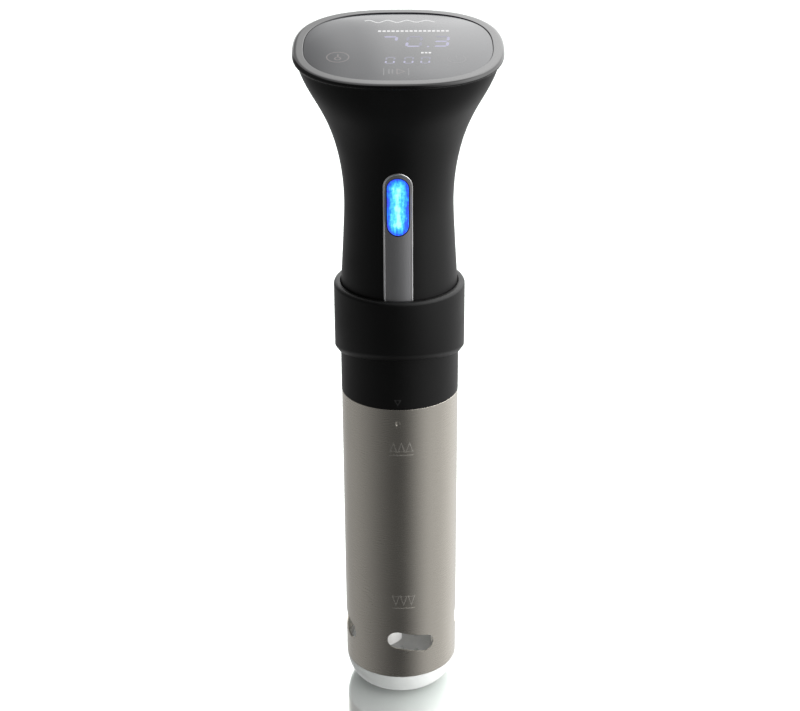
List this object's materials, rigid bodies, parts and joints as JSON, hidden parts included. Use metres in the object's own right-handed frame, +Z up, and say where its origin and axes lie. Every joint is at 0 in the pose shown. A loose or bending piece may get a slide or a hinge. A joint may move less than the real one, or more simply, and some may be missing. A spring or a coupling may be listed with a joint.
{
  "type": "sous vide circulator",
  "caption": "Immersion circulator: flared handle with a leaning touch display, back clamp, and a slotted steel sleeve round heater, probes and impeller.",
  "frame": {"origin": "centre of the flat foot of the bottom cap, on the sleeve's axis", "axes": "+Z up along the sleeve towards the display, -Y towards the user's side, where the display leans, +Y towards the clamp"},
  "size_m": [0.1088, 0.1067, 0.391],
  "materials": {
    "matte_black": "soft-touch matte",
    "gloss_black": "high gloss",
    "display_glass": "smoked, glossy",
    "steel_sleeve": "brushed round the axis",
    "bright_steel": "fine satin",
    "chrome": "polished",
    "satin_metal": "satin anodised, dark",
    "cap_white": "satin pearl",
    "impeller_white": "moulded",
    "blue_lens": "clear, lit blue",
    "rubber_black": "matte",
    "silicone_grey": "matte",
    "board_green": "solder mask",
    "component_black": "moulded",
    "component_blue": "sleeve",
    "component_yellow": "tape",
    "component_pale": "moulded",
    "heater_steel": "heat tinted",
    "copper": "enamelled wire and laminations"
  },
  "bodies": {
    "housing": {"handle_housing": "matte_black", "top_bezel": "gloss_black", "touch_glass": "display_glass", "display_board": "board_green", "digit_display": "component_black", "key_lamps": "component_pale", "touch_pads": "rubber_black", "board_screws": "bright_steel", "buzzer": "component_black", "trim_strip": "satin_metal", "trim_frame": "chrome", "led_lens": "blue_lens", "led_board": "board_green", "led_chips": "component_pale", "board_bracket": "matte_black", "power_board": "board_green", "relay": "component_black", "capacitors": "component_blue", "transformer": "component_yellow", "heat_sink": "bright_steel", "terminal_block": "board_green", "fuse": "component_pale", "cord_gland": "rubber_black", "lower_housing": "matte_black", "housing_seal": "rubber_black", "housing_screws": "bright_steel", "clamp_collar": "matte_black", "collar_screws": "bright_steel", "clamp_pin": "bright_steel", "clamp_spring": "bright_steel", "plate_seal": "silicone_grey", "base_plate": "bright_steel", "plate_screws": "bright_steel", "motor_mount": "bright_steel", "motor_can": "bright_steel", "motor_cover": "component_black", "motor_magnets": "component_black", "motor_bearings": "bright_steel", "motor_screws": "bright_steel", "motor_spacers": "component_pale", "heater_coil": "heater_steel", "heater_nuts": "copper", "heater_tabs": "bright_steel", "temperature_probe": "bright_steel", "level_probes": "bright_steel", "probe_seals": "rubber_black", "shaft_tube": "bright_steel", "shaft_bushing": "component_black", "shaft_seal": "rubber_black"},
    "rotor": {"drive_shaft": "bright_steel", "rotor_core": "copper", "impeller": "impeller_white", "impeller_screw": "bright_steel"},
    "sleeve": {"steel_sleeve": "steel_sleeve", "sleeve_ring": "matte_black"},
    "cap": {"bottom_cap": "cap_white"},
    "lever": {"clamp_lever": "matte_black", "jaw_pad": "silicone_grey"}
  },
  "joints": [
    {"name": "impeller_spin", "type": "hinge", "parent": "housing", "child": "rotor", "pos_m": [0, 0, 0.1], "axis": [0, 0, 1], "continuous": true},
    {"name": "sleeve_twist", "type": "hinge", "parent": "housing", "child": "sleeve", "pos_m": [0, 0, 0.18], "axis": [0, 0, 1], "range_deg": [0, 30]},
    {"name": "cap_twist", "type": "hinge", "parent": "sleeve", "child": "cap", "pos_m": [0, 0, 0.02], "axis": [0, 0, 1], "range_deg": [-30, 0]},
    {"name": "clamp_squeeze", "type": "hinge", "parent": "housing", "child": "lever", "pos_m": [0, 0.043, 0.244], "axis": [1, 0, 0], "range_deg": [0, 20], "stiffness_Nm_per_rad": 1.2, "springref_deg": -17.19, "deforming": ["clamp_spring"]}
  ]
}
